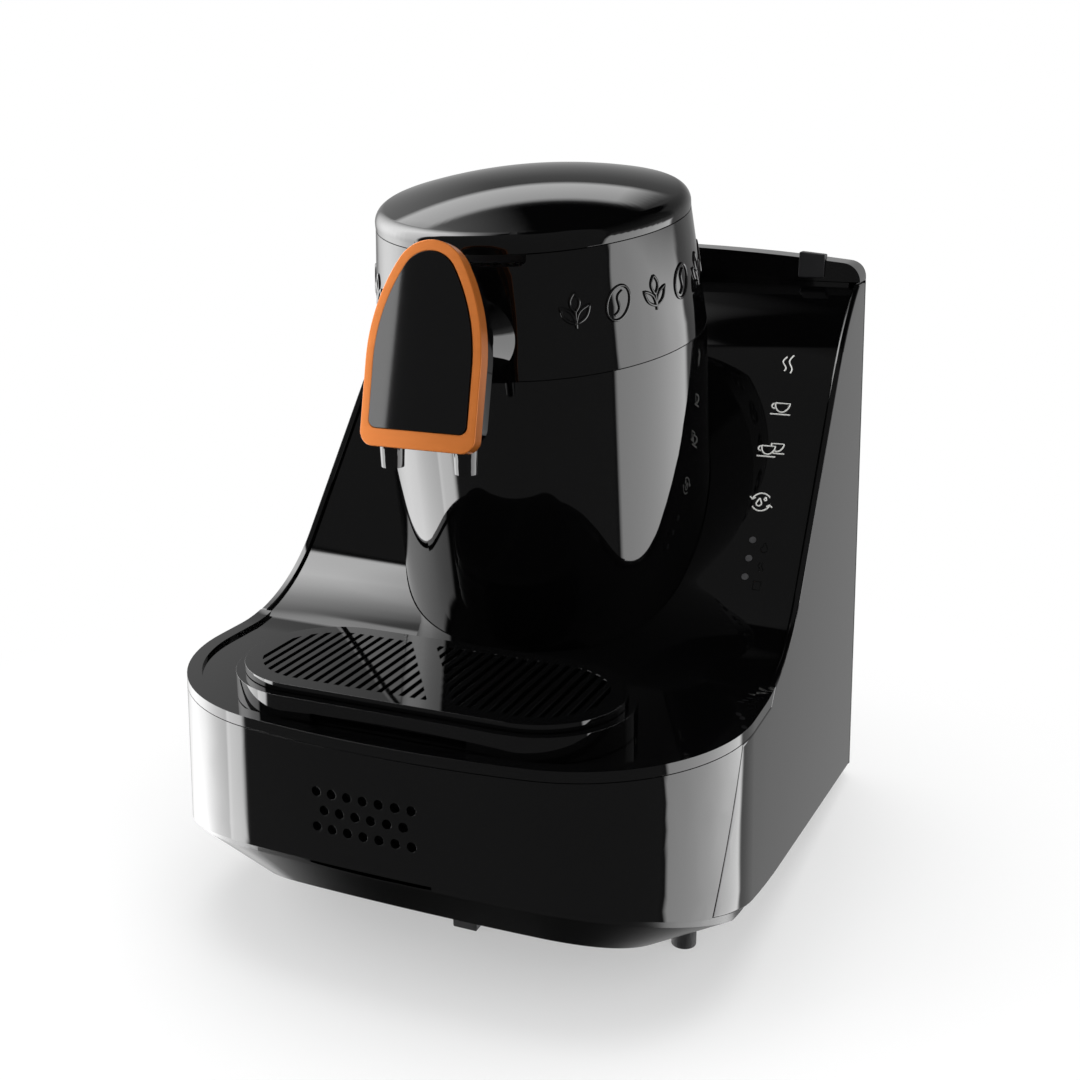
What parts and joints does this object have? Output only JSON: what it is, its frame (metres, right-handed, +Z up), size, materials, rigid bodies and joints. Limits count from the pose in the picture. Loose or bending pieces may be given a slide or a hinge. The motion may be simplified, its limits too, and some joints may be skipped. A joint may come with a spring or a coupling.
{
  "type": "electric turkish coffee maker",
  "caption": "Electric turkish coffee maker with a leaning brew barrel under a hinged lid, a twin spout, a slotted cup plate over a drip tray, a touch panel and a rear water tank.",
  "frame": {"origin": "on the table, under the middle of the machine's outline", "axes": "+Z up, -Y towards the front with the spouts, +X to the side with the touch panel"},
  "size_m": [0.2464, 0.2868, 0.3118],
  "materials": {
    "gloss_black": "high gloss",
    "matte_black": "fine matt",
    "copper_trim": "satin copper",
    "steel": "brushed",
    "aluminium": "cast",
    "foot_rubber": "matt",
    "silicone": "translucent matt",
    "seal_rubber": "matt",
    "circuit_board": "solder mask",
    "lamp_lens": "smoked lens",
    "white_plastic": "moulded"
  },
  "bodies": {
    "housing": {"front_skirt": "gloss_black", "side_panel_left": "gloss_black", "side_panel_right": "gloss_black", "rear_cover": "gloss_black", "top_cover": "gloss_black", "base_pan": "matte_black", "front_feet": "foot_rubber", "front_tab_foot": "foot_rubber", "rear_feet": "foot_rubber", "barrel_body": "gloss_black", "barrel_collar": "gloss_black", "lid_hinge_pin": "steel", "brew_pot": "steel", "heater_plate": "aluminium", "thermostat": "steel", "brew_chassis": "matte_black", "stirrer_motor": "steel", "outlet_valve": "white_plastic", "coffee_tube": "silicone", "spout_frame": "copper_trim", "spout_panel": "gloss_black", "spout_body": "gloss_black", "spout_neck": "gloss_black", "nozzle_left": "gloss_black", "nozzle_right": "gloss_black", "tank_bulkhead": "matte_black", "tank_spigot": "matte_black", "chassis_plate": "matte_black", "water_pump": "white_plastic", "pump_bracket": "matte_black", "tank_hose": "silicone", "pump_hose": "silicone", "power_board": "circuit_board", "touch_board": "circuit_board", "status_lamps": "lamp_lens", "speaker": "matte_black", "mains_inlet": "matte_black", "switch_housing": "matte_black"},
    "brew_lid": {"brew_lid": "gloss_black", "lid_liner": "matte_black", "lid_seal": "seal_rubber"},
    "drip_tray": {"drip_tray": "gloss_black"},
    "cup_plate": {"cup_plate": "gloss_black"},
    "water_tank": {"water_tank": "gloss_black", "tank_lid_pin": "steel", "valve_cage": "matte_black", "valve_spring": "steel"},
    "tank_lid": {"tank_lid": "gloss_black", "lid_tab": "matte_black"},
    "valve_plunger": {"valve_plunger": "matte_black"},
    "stirrer": {"stirrer_shaft": "steel", "stirrer_paddle": "steel"},
    "power_rocker": {"power_rocker": "matte_black"}
  },
  "joints": [
    {"name": "brew_lid_hinge", "type": "hinge", "parent": "housing", "child": "brew_lid", "pos_m": [0, 0.07136, 0.30626], "axis": [-1, 0, 0], "range_deg": [0, 80]},
    {"name": "drip_tray_lift", "type": "slide", "parent": "housing", "child": "drip_tray", "axis": [0, 0, 1], "range_m": [0, 0.04]},
    {"name": "cup_plate_lift", "type": "slide", "parent": "drip_tray", "child": "cup_plate", "axis": [0, 0, 1], "range_m": [0, 0.035]},
    {"name": "water_tank_lift", "type": "slide", "parent": "housing", "child": "water_tank", "axis": [0, 0, 1], "range_m": [0, 0.12]},
    {"name": "tank_lid_hinge", "type": "hinge", "parent": "water_tank", "child": "tank_lid", "pos_m": [0, 0.1386, 0.2586], "axis": [-1, 0, 0], "range_deg": [0, 85]},
    {"name": "tank_valve_slide", "type": "slide", "parent": "water_tank", "child": "valve_plunger", "axis": [0, 0, 1], "range_m": [0, 0.0025], "stiffness_N_per_m": 50, "springref_m": -0.003, "deforming": ["valve_spring"]},
    {"name": "stirrer_spin", "type": "hinge", "parent": "housing", "child": "stirrer", "pos_m": [0, 0.0032, 0.2921], "axis": [0, -0.1865, 0.9825], "continuous": true},
    {"name": "power_rocker_tilt", "type": "hinge", "parent": "housing", "child": "power_rocker", "pos_m": [0.062, 0.13799, 0.038], "axis": [1, 0, 0], "range_deg": [0, 16]}
  ]
}
